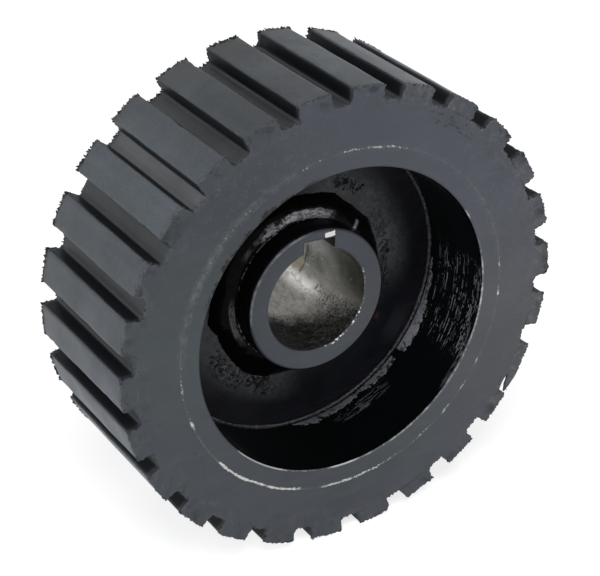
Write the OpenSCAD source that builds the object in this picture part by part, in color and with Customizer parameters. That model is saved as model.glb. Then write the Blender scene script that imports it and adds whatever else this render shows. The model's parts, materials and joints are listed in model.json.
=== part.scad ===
// Rubber-lagged drive drum for a narrow belt conveyor.
// A steel rim tube, a web disc and a keyed hub are welded into a wheel, and a grooved
// rubber lagging is vulcanised round the rim.
// The drum's axis is Y and its front face looks along -Y. The origin is on the axis,
// midway across the face width, and +Z points up through the keyway's side of the bore.

/* [Rim tube] */
// Outside diameter of the steel rim tube
rim_od = 146; // [130:1:200]
// Wall thickness of the rim tube
rim_wall = 8; // [6:0.5:12]
// Width of the rim and of its lagging, along the axis
face_w = 70; // [62:1:120]
// Bevel on the rim's inner edges
rim_bevel = 0.6; // [0.2:0.1:1.5]

/* [Web disc] */
// Thickness of the web disc
web_t = 10; // [6:0.5:14]
// Depth of the web's front face behind the rim's front face
web_setback = 38; // [34:0.5:44]
// Bevel on the web's front outer edge
web_bevel = 1; // [0.4:0.1:2]

/* [Hub] */
// Outside diameter of the hub
hub_od = 62; // [58:0.5:70]
// Depth of the hub's front face behind the rim's front face
hub_setback = 22; // [14:0.5:26]
// How far the hub stands out past the rim's rear face
hub_overhang = 8; // [0:0.5:20]
// Bevel on the hub's outer edges
hub_bevel = 1; // [0.3:0.1:2]
// Diameter of the shaft bore
bore_d = 45; // [36:0.5:48]
// Width of the keyway
key_w = 14; // [8:0.5:16]
// Height of the keyway's roof above the top of the bore
key_h = 3.8; // [2.5:0.1:5]
// Angle of the keyway from straight up, clockwise seen from the front
key_turn = 4.5; // [-180:0.5:180]
// Bevel round the mouths of the bore
mouth_bevel = 0.5; // [0.2:0.1:0.6]
// Bevel round the mouths of the keyway, always deeper than the bore's
key_bevel = 0.7; // [0.7:0.1:1.4]

/* [Welds] */
// Width of the hub welds on the web
hub_weld_w = 7.6; // [6:0.1:12]
// Height of the hub welds along the hub
hub_weld_h = 5.8; // [4:0.1:8]
// How far the hand-laid hub welds wander in width
hub_weld_wander = 0.9; // [0:0.1:1.5]
// Leg of the weld between the web and the rim
rim_weld_leg = 5.5; // [3:0.1:8]
// Swell of a weld's face above a flat fillet
weld_crown = 1; // [0.2:0.1:1.5]
// Number of ripples in a hub weld
ripple_count = 40; // [24:1:60]
// How far each ripple stands out of the bead
ripple_step = 0.3; // [0.1:0.05:0.6]
// Share of the pitch that each ripple takes up
ripple_share = 0.6; // [0.4:0.05:0.8]

/* [Lagging] */
// Thickness of the bonding layer between steel and rubber
bond_t = 0.5; // [0.3:0.1:1.5]
// Thickness of the rubber from the bonding layer to the rib tips
lagging_t = 24.5; // [16:0.5:36]
// Number of grooves
groove_count = 26; // [18:1:30]
// Depth of the grooves
groove_depth = 6.3; // [3:0.1:9]
// Width of a groove between the rib tips
groove_w = 9.2; // [7:0.1:11]
// Slope of each groove wall, in degrees
groove_slope = 8; // [0:1:15]
// Radius at the foot of each groove wall
groove_fillet = 1.4; // [0.5:0.1:2]
// Radius of the lagging's outer edges at both faces
edge_round = 0.8; // [0.3:0.1:2]

/* [Fits] */
// Radial clearance of the web disc in the rim and on the hub
slip_gap = 0.1; // [0.05:0.05:0.3]
// Radial clearance between round faces that are fused or bonded
seat_gap = 0.05; // [0.02:0.01:0.1]

/* [Hidden] */
$fn = 128;

// Radii, from the axis outwards
bore_r = bore_d / 2;
key_roof_r = bore_r + key_h;
hub_r = hub_od / 2;
rim_r = rim_od / 2;
rim_inner_r = rim_r - rim_wall;
bond_r = rim_r + bond_t;
tip_r = bond_r + lagging_t;
floor_r = tip_r - groove_depth;

// Heights along the axis, with the front face uppermost
front_z = face_w / 2;
rear_z = -face_w / 2;
web_front_z = front_z - web_setback;
web_rear_z = web_front_z - web_t;
hub_front_z = front_z - hub_setback;
hub_rear_z = rear_z - hub_overhang;

// How far a cutter reaches past the face that it cuts
past = 1;
// Points along each curve of a profile
arc_steps = 5;

steel_grey = [0.30, 0.32, 0.36];
gloss_black = [0.05, 0.05, 0.06];
satin_black = [0.13, 0.13, 0.15];
cement_grey = [0.62, 0.62, 0.60];
rubber_black = [0.12, 0.12, 0.13];

// Parts are drawn with the drum lying on its back, front face up along +Z and the top
// along +Y, and this stands them on the tread.
module stand() {
  rotate([90, 0, 0]) children();
}

// Ring between two radii and two heights, with a bevel on its inner and outer edges.
module ring(inner_r, outer_r, low_z, high_z, inner_bevel = 0, outer_bevel = 0) {
  rotate_extrude()
    polygon(concat(
      bevelled_edge(inner_r, low_z, inner_bevel, 1, 1),
      bevelled_edge(outer_r, low_z, outer_bevel, -1, 1),
      bevelled_edge(outer_r, high_z, outer_bevel, -1, -1),
      bevelled_edge(inner_r, high_z, inner_bevel, 1, -1)
    ));
}

// Corner of a ring's section: one point, or the two ends of a bevel that leads inwards
// along inward_r and inward_z, in anticlockwise order.
function bevelled_edge(r, z, bevel, inward_r, inward_z) =
  let (
    on_face = [r + inward_r * bevel, z],
    on_wall = [r, z + inward_z * bevel]
  )
  bevel == 0 ? [[r, z]]
  : inward_r * inward_z > 0 ? [on_wall, on_face]
  : [on_face, on_wall];

module rim_tube() {
  color(steel_grey) stand()
    ring(rim_inner_r, rim_r, rear_z, front_z, inner_bevel = rim_bevel);
}

module web_disc() {
  hole_r = hub_r + slip_gap;
  edge_r = rim_inner_r - slip_gap;
  color(satin_black) stand()
    rotate_extrude()
      polygon([
        [hole_r, web_rear_z],
        [edge_r, web_rear_z],
        [edge_r, web_front_z - web_bevel],
        [edge_r - web_bevel, web_front_z],
        [hole_r, web_front_z],
      ]);
}

// Keyway cut, from the axis out to its roof and past both ends of the hub.
module key_cutter() {
  translate([-key_w / 2, 0, hub_rear_z - past])
    cube([key_w, key_roof_r, hub_front_z - hub_rear_z + 2 * past]);
}

// Bevel round the keyway's mouth at the hub's front end: the part that widens its walls
// and the part that raises its roof meet at mitred corners.
module key_mouth() {
  half_w = key_w / 2;
  reach = key_bevel + past;
  intersection() {
    rotate([90, 0, 0])
      translate([0, 0, -key_roof_r - reach])
        linear_extrude(key_roof_r + reach)
          mouth_section(half_w, hub_front_z);
    translate([-half_w - reach, 0, 0])
      rotate([90, 0, 90])
        linear_extrude(2 * (half_w + reach))
          mouth_section(key_roof_r, hub_front_z);
  }
}

// Section through a bevelled mouth that is half_w wide each way below the bevel.
module mouth_section(half_w, face_z) {
  wide = half_w + key_bevel + past;
  polygon([
    [-half_w, face_z - key_bevel],
    [half_w, face_z - key_bevel],
    [wide, face_z + past],
    [-wide, face_z + past],
  ]);
}

// Bore with a bevelled mouth at both ends, cut through the hub.
module bore_cutter() {
  translate([0, 0, hub_rear_z - past])
    cylinder(r = bore_r, h = hub_front_z - hub_rear_z + 2 * past);
  translate([0, 0, hub_front_z - mouth_bevel])
    cylinder(r1 = bore_r, r2 = bore_r + mouth_bevel + past, h = mouth_bevel + past);
  translate([0, 0, hub_rear_z - past])
    cylinder(r1 = bore_r + mouth_bevel + past, r2 = bore_r, h = mouth_bevel + past);
}

module hub() {
  mid_z = (hub_front_z + hub_rear_z) / 2;
  color(steel_grey) stand()
    difference() {
      ring(0, hub_r, hub_rear_z, hub_front_z, outer_bevel = hub_bevel);
      bore_cutter();
      rotate([0, 0, -key_turn]) {
        key_cutter();
        key_mouth();
        translate([0, 0, 2 * mid_z]) mirror([0, 0, 1]) key_mouth();
      }
    }
}

// Section of a fillet bead in the corner at the origin, with its legs along +X and +Y and
// its face swelling out by weld_crown.
function bead_section(leg_x, leg_y) =
  let (slant = norm([leg_x, leg_y]))
  concat(
    [[0, 0]],
    [
      for (i = [0:arc_steps])
        let (
          along = i / arc_steps,
          swell = weld_crown * sin(180 * along)
        )
        [
          leg_x * (1 - along) + swell * leg_y / slant,
          leg_y * along + swell * leg_x / slant,
        ]
    ]
  );

// Change in a hand-laid bead's width at an angle round the hub.
function wander(angle) = hub_weld_wander * (sin(3 * angle + 20) + sin(8 * angle)) / 2;

// Fillet weld round the hub on a face that looks along +Z: an even bead with a ripple
// standing out of it at each pause of the hand that laid it. The ripples are rooted just
// inside the bead.
module hub_weld(start_angle) {
  pitch = 360 / ripple_count;
  inner_r = hub_r + seat_gap;
  rotate_extrude()
    translate([inner_r, 0]) polygon(bead_section(hub_weld_w, hub_weld_h));
  for (i = [0:ripple_count - 1]) {
    angle = i * pitch;
    spread = ripple_step + hub_weld_wander + wander(angle);
    rotate([0, 0, start_angle + angle])
      rotate_extrude(angle = ripple_share * pitch)
        translate([inner_r + seat_gap, seat_gap])
          polygon(bead_section(hub_weld_w + spread, hub_weld_h + ripple_step));
  }
}

module front_hub_weld() {
  color(gloss_black) stand()
    translate([0, 0, web_front_z]) hub_weld(0);
}

module rear_hub_weld() {
  start_angle = 70;
  color(gloss_black) stand()
    translate([0, 0, web_rear_z]) mirror([0, 0, 1]) hub_weld(start_angle);
}

module rear_rim_weld() {
  color(gloss_black) stand()
    translate([0, 0, web_rear_z])
      rotate_extrude()
        translate([rim_inner_r - seat_gap, 0])
          rotate(180) polygon(bead_section(rim_weld_leg, rim_weld_leg));
}

module bonding_layer() {
  color(cement_grey) stand()
    ring(rim_r + seat_gap, bond_r, rear_z, front_z);
}

// Quarter-round edge of a ring's section, from start_angle on, about a centre.
function round_edge(centre, radius, start_angle) = [
  for (i = [0:arc_steps])
    let (angle = start_angle + 90 * i / arc_steps)
    centre + radius * [cos(angle), sin(angle)]
];

// Solid rubber cover before it is grooved.
module lagging_blank() {
  inner_r = bond_r + seat_gap;
  centre_r = tip_r - edge_round;
  rotate_extrude()
    polygon(concat(
      [[inner_r, front_z], [inner_r, rear_z]],
      round_edge([centre_r, rear_z + edge_round], edge_round, -90),
      round_edge([centre_r, front_z - edge_round], edge_round, 0)
    ));
}

// Right half of a groove's section, from its floor to past the rib tips, with sloping
// walls and a round foot.
function groove_half() =
  let (
    mouth_y = tip_r,
    top_y = tip_r + past,
    half_mouth = groove_w / 2,
    wall_x = half_mouth - (mouth_y - floor_r) * tan(groove_slope),
    foot_x = wall_x - groove_fillet * (1 / cos(groove_slope) - tan(groove_slope)),
    foot_y = floor_r + groove_fillet
  )
  concat(
    [
      for (i = [0:arc_steps])
        let (angle = -90 + (90 - groove_slope) * i / arc_steps)
        [foot_x, foot_y] + groove_fillet * [cos(angle), sin(angle)]
    ],
    [[half_mouth + past * tan(groove_slope), top_y]]
  );

module groove_cutter() {
  right = groove_half();
  left = [for (i = [len(right) - 1:-1:0]) [-right[i].x, right[i].y]];
  translate([0, 0, rear_z - past])
    linear_extrude(face_w + 2 * past) polygon(concat(right, left));
}

module lagging() {
  color(rubber_black) stand()
    difference() {
      lagging_blank();
      for (i = [0:groove_count - 1])
        rotate([0, 0, i * 360 / groove_count]) groove_cutter();
    }
}

rim_tube();
web_disc();
hub();
front_hub_weld();
rear_hub_weld();
rear_rim_weld();
bonding_layer();
lagging();
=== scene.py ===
import json
import math
import random

import bpy
import numpy as np
from mathutils import Matrix, Vector, noise


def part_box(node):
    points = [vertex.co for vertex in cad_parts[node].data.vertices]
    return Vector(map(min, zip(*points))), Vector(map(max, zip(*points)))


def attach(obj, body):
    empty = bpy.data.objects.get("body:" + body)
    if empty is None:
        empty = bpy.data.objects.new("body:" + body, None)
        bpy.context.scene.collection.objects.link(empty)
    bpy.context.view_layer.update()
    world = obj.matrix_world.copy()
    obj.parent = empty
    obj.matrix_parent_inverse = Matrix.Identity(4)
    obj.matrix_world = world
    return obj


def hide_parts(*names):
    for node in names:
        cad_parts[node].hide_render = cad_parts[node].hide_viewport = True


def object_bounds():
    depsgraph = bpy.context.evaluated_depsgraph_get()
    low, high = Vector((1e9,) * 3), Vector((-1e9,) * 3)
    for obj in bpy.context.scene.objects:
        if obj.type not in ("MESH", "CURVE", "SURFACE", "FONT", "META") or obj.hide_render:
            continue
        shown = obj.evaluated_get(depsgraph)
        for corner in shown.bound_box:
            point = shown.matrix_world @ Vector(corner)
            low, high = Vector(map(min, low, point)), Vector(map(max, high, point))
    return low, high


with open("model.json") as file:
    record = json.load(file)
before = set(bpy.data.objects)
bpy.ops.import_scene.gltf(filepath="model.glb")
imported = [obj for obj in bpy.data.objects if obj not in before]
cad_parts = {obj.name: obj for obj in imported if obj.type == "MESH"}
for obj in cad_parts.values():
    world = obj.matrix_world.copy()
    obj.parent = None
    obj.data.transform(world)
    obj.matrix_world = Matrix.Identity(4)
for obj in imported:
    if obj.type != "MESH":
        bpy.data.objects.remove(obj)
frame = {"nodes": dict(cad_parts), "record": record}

# The looks of a rubber-lagged drive drum. The drum's axis is Y, its front face looks along -Y and +Z is
# up. Angles run clockwise from the top as seen from the front, in degrees. The drum's lengths are in
# millimetres, which make_piece turns into metres. Camera, floor and lamps are in metres.

CAD_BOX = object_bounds()
MM = 0.001


def outer_radius(node):
    """Radius of a round node about the drum's axis."""
    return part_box(node)[1].x / MM


def ends(node):
    """Where a node starts and stops along the drum's axis."""
    low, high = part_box(node)
    return low.y / MM, high.y / MM


FRONT_Y, REAR_Y = ends("rim_tube")
WEB_FRONT_Y, WEB_REAR_Y = ends("web_disc")
HUB_FRONT_Y, HUB_REAR_Y = ends("hub")
HALF_WIDTH = abs(FRONT_Y)
RIM_R = outer_radius("rim_tube")
RIM_INNER_R = outer_radius("web_disc") + 0.1
BOND_R = outer_radius("bonding_layer")
TIP_R = outer_radius("lagging")
HUB_R = outer_radius("hub")
BORE_R = next(mount for mount in frame["record"]["mounts"] if mount["name"] == "bore")["dims"]["r_mm"]
GROOVES = 26
PITCH = 360 / GROOVES


# ---- shader helpers
def adds(operation):
    """An operator that adds a Math node."""
    return lambda wire, *other: wire.nodes.math(operation, wire, *other)


class Wire:
    """The output of a shader node. Arithmetic with it adds nodes, and | takes the larger of two values."""
    __add__ = adds("ADD")
    __sub__ = adds("SUBTRACT")
    __mul__ = adds("MULTIPLY")
    __truediv__ = adds("DIVIDE")
    __or__ = adds("MAXIMUM")
    __abs__ = adds("ABSOLUTE")

    def __init__(self, nodes, socket):
        self.nodes = nodes
        self.socket = socket

    def __rsub__(self, other):
        return self.nodes.math("SUBTRACT", other, self)


class Nodes:
    """A shader tree being built. Its methods add nodes and return wires."""

    def __init__(self, tree):
        self.tree = tree

    def node(self, kind, inputs=None, **settings):
        node = self.tree.nodes.new("ShaderNode" + kind)
        for key, value in settings.items():
            setattr(node, key, value)
        for key, value in (inputs or {}).items():
            self.put(node.inputs[key], value)
        return node

    def add(self, kind, inputs=None, output=0, **settings):
        return Wire(self, self.node(kind, inputs, **settings).outputs[output])

    def put(self, socket, value):
        if isinstance(value, Wire):
            self.tree.links.new(value.socket, socket)
        elif socket.type == "RGBA":
            socket.default_value = (*value, 1)
        else:
            socket.default_value = value

    def math(self, operation, a, b=0):
        return self.add("Math", {0: a, 1: b}, operation=operation)

    def white_for_camera(self, plain_strength):
        """Strength that is one where the camera, a mirror or glass sees it and plain elsewhere."""
        rays = self.node("LightPath").outputs
        seen = Wire(self, rays["Is Camera Ray"]) | Wire(self, rays["Is Glossy Ray"])
        seen = seen | Wire(self, rays["Is Transmission Ray"])
        return self.add("MapRange", {"Value": seen, "To Min": plain_strength, "To Max": 1})


class Finish(Nodes):
    """A material being made, with the place on the drum in millimetres and the angle round its axis."""

    def __init__(self, name):
        self.material = bpy.data.materials.new(name)
        self.material.use_nodes = True
        super().__init__(self.material.node_tree)
        self.place = self.add("TexCoord", output="Object")
        in_mm = self.add("VectorMath", {0: self.place, "Scale": 1 / MM}, operation="SCALE")
        self.x, self.y, self.z = (Wire(self, part) for part in self.node("SeparateXYZ", {0: in_mm}).outputs)
        self.across = self.add("CombineXYZ", {0: self.x, 2: self.z})
        self.radius = self.add("VectorMath", {0: self.across}, "Value", operation="LENGTH")
        turn = self.math("ARCTAN2", self.x, self.z)
        self.angle = self.math("FLOORED_MODULO", self.math("DEGREES", turn), 360)

    def step(self, value, low, high, start=0, end=1):
        """Smooth step from start at low to end at high."""
        limits = {"Value": value, "From Min": low, "From Max": high, "To Min": start, "To Max": end}
        return self.add("MapRange", limits, interpolation_type="SMOOTHSTEP")

    def band(self, value, low, high, soft):
        """One between low and high, falling to nothing over soft outside them."""
        return self.step(value, low - soft, low) * (1 - self.step(value, high, high + soft))

    def ring(self, low, high, soft):
        """One between two radii."""
        return self.band(self.radius, low, high, soft)

    def arc(self, centre, half, soft):
        """One within half degrees of an angle round the axis."""
        shifted = self.math("FLOORED_MODULO", self.angle - (centre - 180), 360)
        return self.step(abs(shifted - 180), half + soft, half - soft)

    def round_profile(self, stops):
        """Brightness round the axis, from (angle, value) pairs."""
        ramp = self.node("ValToRGB", {"Fac": self.angle / 360})
        elements = ramp.color_ramp.elements
        for element, (angle, value) in zip(elements, (stops[0], stops[-1])):
            element.position = angle / 360
            element.color = (value, value, value, 1)
        for angle, value in stops[1:-1]:
            elements.new(angle / 360).color = (value, value, value, 1)
        return Wire(self, ramp.outputs["Color"])

    def noise(self, scale, detail=3, roughness=0.5, distortion=0, place=None):
        """Soft noise between 0 and 1. The scale is in cells per metre."""
        inputs = {"Vector": place or self.place, "Scale": scale, "Detail": detail}
        return self.add("TexNoise", {**inputs, "Roughness": roughness, "Distortion": distortion})

    def strokes(self, factors, detail, roughness, distortion=0):
        """Noise drawn out along the axes, with a number of cells per metre along each."""
        place = self.add("Mapping", {"Vector": self.place, "Scale": factors})
        return self.noise(1, detail, roughness, distortion, place)

    def swirls(self, around, outward, detail, roughness, distortion=0):
        """Noise drawn out round the axis, in cells per degree around and per millimetre outward."""
        place = self.add("CombineXYZ", {0: self.angle * around, 1: self.radius * outward, 2: self.y * MM})
        return self.noise(1, detail, roughness, distortion, place)

    def mix(self, factor, a, b):
        """Colour between a and b."""
        return self.add("Mix", {0: factor, 6: a, 7: b}, 2, data_type="RGBA", clamp_factor=True)

    def layers(self, colour, *coats):
        """A colour with coats laid over it, each given as its mask and its colour."""
        for mask, coat in coats:
            colour = self.mix(mask, colour, coat)
        return colour

    def tint(self, colour, by):
        return self.add("VectorMath", {0: colour, 1: by}, operation="MULTIPLY")

    def blend(self, factor, a, b):
        """Number between a and b."""
        return self.add("Mix", {0: factor, 2: a, 3: b}, data_type="FLOAT", clamp_factor=True)

    def bump(self, height, distance, strength, under=None):
        """Normal of a relief this many millimetres deep, laid over another normal if one is given."""
        inputs = {"Height": height, "Distance": distance * MM, "Strength": strength}
        return self.add("Bump", inputs if under is None else {**inputs, "Normal": under})

    def end_on(self):
        """How squarely the surface looks along the drum's axis."""
        return abs(self.add("SeparateXYZ", {0: self.add("NewGeometry", output="Normal")}, 1))

    def done(self, colour, rough, level, **others):
        """The material, once its colour, roughness, specular level and other inputs are set."""
        surface = self.tree.nodes["Principled BSDF"]
        inputs = {"Base Color": colour, "Roughness": rough, "Specular IOR Level": level, **others}
        for name, value in inputs.items():
            self.put(surface.inputs[name], value)
        return self.material


# ---- paint
# How strong the pale line is round the axis where steel and rubber meet, and how worn the recess's edge is
JOINT_LINE = [
    (0, 0.65), (21, 0.7), (27, 0.1), (83, 0), (86, 0.85), (91, 0.1), (98, 0.85), (101, 0), (118, 0.1),
    (121, 0.75), (124, 0.1), (131, 0.8), (134, 0.15), (141, 0.75), (144, 0.15), (151, 0.7), (155, 0.2),
    (170, 0.8), (190, 0.85), (193, 0.2), (203, 0.9), (233, 0.95), (237, 0.15), (248, 0.2), (252, 0.85),
    (257, 0.2), (266, 0.65), (274, 0.35), (294, 0.1), (316, 0.45), (335, 0.15), (359, 0.4),
]
RECESS_EDGE = [
    (0, 0), (56, 0.1), (61, 0.85), (65, 0.3), (80, 0.45), (84, 0.75), (88, 0.4), (98, 0.7), (110, 0.45),
    (176, 0.5), (179, 0.95), (186, 0.9), (189, 0.45), (207, 0.5), (210, 1.1), (228, 1.1), (232, 0.2),
    (300, 0.05), (359, 0),
]
# How light the face's paint is round the axis. The tops of the ribs and the floors of the grooves are
# lighter and darker round the axis as painted light and shade, with some dust on one floor
FACE_TONES = [
    (0, 0.92), (20, 1), (60, 1.1), (100, 1.22), (140, 1), (170, 0.86), (190, 0.78), (230, 0.86),
    (262, 0.92), (300, 0.82), (320, 0.73), (340, 0.8), (359, 0.92),
]
RIB_PAINTED_LIGHT = [
    (0, 0.85), (7, 1.08), (21, 1.2), (60, 1), (180, 1), (250, 1.17), (263, 1.05), (270, 0.97),
    (284, 0.85), (298, 0.9), (311, 1.22), (318, 1.2), (325, 1.03), (339, 0.67), (353, 0.7), (359, 0.82),
]
FLOOR_PAINTED_LIGHT = [
    (0, 0.8), (14, 1.2), (28, 1.9), (42, 1), (180, 1), (249, 0.75), (263, 0.95), (277, 0.95),
    (291, 0.8), (305, 0.88), (312, 1), (318, 1.45), (325, 1), (332, 0.78), (346, 0.34), (359, 0.78),
]
PALE_CEMENT = (0.57, 0.565, 0.55)


def joint_line(f):
    """Mask of the broken pale line where the paint has cracked over the joint of steel and rubber."""
    centre = f.noise(110, 4, 0.7) * 1.6 + (RIM_R - 0.6)
    amount = f.round_profile(JOINT_LINE)
    flakes = f.noise(420, 5, 0.8)
    present = f.step(amount * 0.6 + flakes, 0.8, 1.02)
    broken = f.step(f.noise(1050, 2, 0.6), 0.34, 0.46, 0.35, 1)
    width = present * f.step(flakes, 0.35, 0.65, 0.3, 0.85) * broken
    line = f.step(abs(f.radius - centre) / (width + 0.02), 1.1, 0.5)
    grains = f.noise(850, 3, 0.75)
    bright = f.step(amount * 0.5 + grains, 0.7, 0.98, 0.22, 1)
    gathered = f.step(f.noise(40, 2), 0.5, 0.6)
    flecks = f.ring(RIM_R - 2.5, RIM_R + 3.5, 2) * f.step(grains, 0.7, 0.75) * gathered * 0.6
    return line * present * bright | flecks


def end_paint(f):
    """Colour, roughness and height of the matt blue-grey paint on the end faces."""
    cast = f.noise(17, 3, 0.55, 0.4)
    cloud = f.noise(38, 4, 0.6)
    strokes = f.strokes((95, 20, 400), 3, 0.55, 0.4)
    dabs = f.strokes((240, 60, 130), 4, 0.6, 0.8)
    speck = f.noise(900, 2, 0.7)
    outer = f.step(f.radius, RIM_R + 8, RIM_R + 16)
    stain = f.arc(178, 7, 6) * f.ring(83, 88, 3)
    pits = f.step(f.noise(260, 3, 0.7), 0.7, 0.76) * f.step(cloud, 0.45, 0.6)
    smear = f.ring(RIM_R + 0.05, RIM_R + 0.4, 0.35) * f.step(f.noise(230, 5, 0.75, 0.6), 0.4, 0.56)
    smudge = (f.arc(312, 34, 12) | f.arc(20, 60, 20) * 0.25) * f.ring(RIM_R - 1, RIM_R + 1, 1.6)
    smudge = smudge * f.step(f.noise(330, 5, 0.8), 0.42, 0.6)
    # brush marks and specks on the upper left
    brushed = (f.arc(338, 24, 14) | f.arc(60, 40, 20) * 0.5) * f.ring(RIM_R + 1.5, TIP_R - 8, 5)
    brushed = brushed * f.step(f.strokes((420, 60, 420), 5, 0.75, 1.2), 0.53, 0.66)
    dusty_ribs = f.arc(75, 65, 20) * f.step(f.radius, TIP_R - 9, TIP_R - 5)
    dusty_ribs = dusty_ribs * f.step(f.noise(260, 5, 0.75, 0.5), 0.5, 0.6)
    nicks = f.step(f.swirls(0.9, 0.7, 2, 0.6), 0.7, 0.74) * outer
    warm = f.arc(108, 28, 22)
    cool = f.arc(12, 42, 24)
    tone = f.layers(
        f.mix(f.step(cast, 0.38, 0.62), (0.047, 0.057, 0.063), (0.055, 0.06, 0.073)),
        (f.step(cloud, 0.3, 0.7, 0, 0.45), (0.044, 0.05, 0.057)),
        (f.step(strokes, 0.42, 0.75, 0, 0.35), (0.068, 0.073, 0.084)),
        (outer * f.step(dabs, 0.54, 0.68, 0, 0.55), (0.076, 0.081, 0.091)),
        (outer * f.step(dabs, 0.44, 0.32, 0, 0.55), (0.032, 0.036, 0.042)),
        (stain * 0.35, (0.03, 0.034, 0.038)),
        (f.step(speck, 0.68, 0.76, 0, 0.35), (0.12, 0.125, 0.135)),
        (pits * 0.8, (0.018, 0.019, 0.022)),
        (smear * 0.5, (0.125, 0.126, 0.13)),
        (smudge * 0.5, (0.15, 0.154, 0.162)),
        (brushed * 0.5, (0.125, 0.128, 0.138)),
        (warm * 0.45, (0.06, 0.059, 0.063)),
        (cool * 0.5, (0.054, 0.06, 0.076)),
        (dusty_ribs * 0.55, (0.118, 0.116, 0.106)),
        (nicks * 0.75, (0.02, 0.021, 0.024)),
    )
    off_hub = f.step(f.radius, HUB_R + 5, HUB_R + 15)
    tone = f.tint(tone, f.mix(off_hub, (1, 1, 1), f.round_profile(FACE_TONES)))
    height = speck * 0.35 + cloud + outer * dabs * 2
    return tone, f.step(cloud, 0.3, 0.7, 0.5, 0.64), height


# ---- finishes of the steel
def bore_cracks(f, depth):
    """A crack in the stain of the bore, with finer ones that branch beside it."""
    centre = f.angle * 0.03 + 41.2 + (f.noise(190, 3, 0.7) - 0.5) * 7
    crack = f.step(abs(depth - centre), 1.2, 0.55) * f.arc(108, 17, 3)
    crack = crack * f.step(f.noise(300, 2, 0.6), 0.28, 0.36)
    forks = f.arc(98, 12, 4) * f.band(depth, 35, 46, 2)
    forks = forks * f.step(abs(f.noise(150, 3, 0.65, 1.5) - 0.5), 0.016, 0.006)
    return crack | forks * 0.8


def bore_metal(f, depth):
    """Machined metal of the bore: colour, roughness, mask of its grime and of the slot's front painted as
    shade, and height of its tool marks.
    """
    marks = f.strokes((18, 5200, 18), 2, 0.6)
    blotch = f.noise(140, 4, 0.65, 0.3)
    fine = f.noise(1400, 3, 0.8)
    # painted highlight: a near-white streak along the bore on the lower right, deep in
    highlight_streak = f.arc(133, 6, 9) * f.step(depth, 22, 34) * f.step(blotch, 0.25, 0.55, 0.45, 1)
    # painted shade on the right of the bore: darker near the front, lighter deeper in
    right = f.arc(80, 30, 16) * f.step(blotch, 0.2, 0.65, 0.7, 1)
    gloom = f.arc(104, 9, 7) * f.band(depth, 32, 43, 5) * f.step(blotch, 0.3, 0.6, 0.3, 1)
    olive = f.arc(66, 14, 8) * f.band(depth, 4, 11, 4)
    # grime lies along the bottom, and further back on the left
    slant = depth - (f.angle - 150) * 0.35
    ragged = (fine - 0.5) * 34 + (blotch - 0.5) * 16
    grit = f.step(slant + ragged, 26, 11) * f.arc(179, 66, 8)
    clean = 1 - grit
    grime = f.noise(560, 4, 0.8)
    soot = f.layers(
        f.mix(f.step(grime, 0.4, 0.62), (0.0015, 0.0019, 0.0018), (0.034, 0.036, 0.034)),
        (f.step(grime, 0.6, 0.68, 0, 0.8), (0.13, 0.132, 0.125)),
        (f.step(blotch, 0.45, 0.65, 0, 0.35), (0.007, 0.008, 0.0075)),
    )
    rubbed = f.strokes((420, 150, 420), 4, 0.7, 0.6)
    spot = f.arc(127, 3.5, 2) * f.band(depth + blotch * 4, 32.2, 33, 0.5)
    pits = f.arc(131, 9, 5) * f.band(depth, 12, 27.5, 3) * f.step(f.noise(950, 2, 0.6), 0.52, 0.58)
    yellow = f.arc(118, 7, 5) * f.band(depth, 45, 51, 2)
    # the keyway's slot: painted shade, near black at its front and lighter deeper in
    slot = f.step(f.radius, BORE_R + 0.15, BORE_R + 0.35)
    slot_shaded_tone = f.layers(
        f.mix(f.step(depth, 4, 26), (0.004, 0.004, 0.003), (0.13, 0.128, 0.11)),
        (f.step(blotch, 0.4, 0.7, 0, 0.4) * f.step(depth, 4, 14), (0.1, 0.1, 0.085)),
    )
    metal = f.layers(
        f.mix(marks, (0.165, 0.16, 0.146), (0.225, 0.22, 0.202)),
        (f.step(blotch, 0.35, 0.7, 0, 0.7), (0.285, 0.275, 0.255)),
        (highlight_streak, (0.8, 0.79, 0.755)),
        # painted shade: darker towards the front on the right
        (right, f.mix(f.step(depth, 8, 42), (0.046, 0.047, 0.04), (0.135, 0.138, 0.122))),
        (gloom * 0.8, (0.055, 0.06, 0.05)),
        (olive * 0.5, (0.05, 0.058, 0.03)),
        (grit, soot),
        (f.step(fine, 0.46, 0.3) * (1 - highlight_streak) * 0.8, (0.05, 0.048, 0.04)),
        (f.step(rubbed, 0.5, 0.38, 0, 0.45) * clean, (0.085, 0.08, 0.07)),
        (f.step(rubbed, 0.56, 0.7, 0, 0.4) * clean, (0.42, 0.4, 0.38)),
        (spot * 0.8, (0.04, 0.037, 0.03)),
        (pits * 0.85, (0.03, 0.028, 0.022)),
        (bore_cracks(f, depth) * 0.9, (0.022, 0.018, 0.012)),
        (yellow * 0.55, (0.2, 0.165, 0.095)),
        (slot, slot_shaded_tone),
    )
    rough = f.blend(grit, f.step(blotch, 0.35, 0.7, 0.3, 0.42), 0.6)
    # the mask holds the grime and the slot's front, which is painted shade
    return metal, rough, grit | slot * f.step(depth, 14, 2), marks


def bare_metal(f, depth):
    """Chips along the lower right of the bore's front edge, and one scrape by the keyway."""
    chips = f.noise(700, 3, 0.8) + f.arc(146, 22, 14) * 0.07
    mouth = f.step(f.radius, BORE_R + 0.85, BORE_R + 0.55) * f.arc(118, 70, 10) * f.step(chips, 0.61, 0.66)
    ragged = (f.noise(1100, 2, 0.7) - 0.5) * 1.3
    scrape = f.band(f.x + ragged, 4.4, 8.8, 0.15) * f.band(f.z + ragged, 26.6, 28.7, 0.15)
    return (mouth | scrape) * f.step(depth, 0.62, 0.5)


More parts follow.
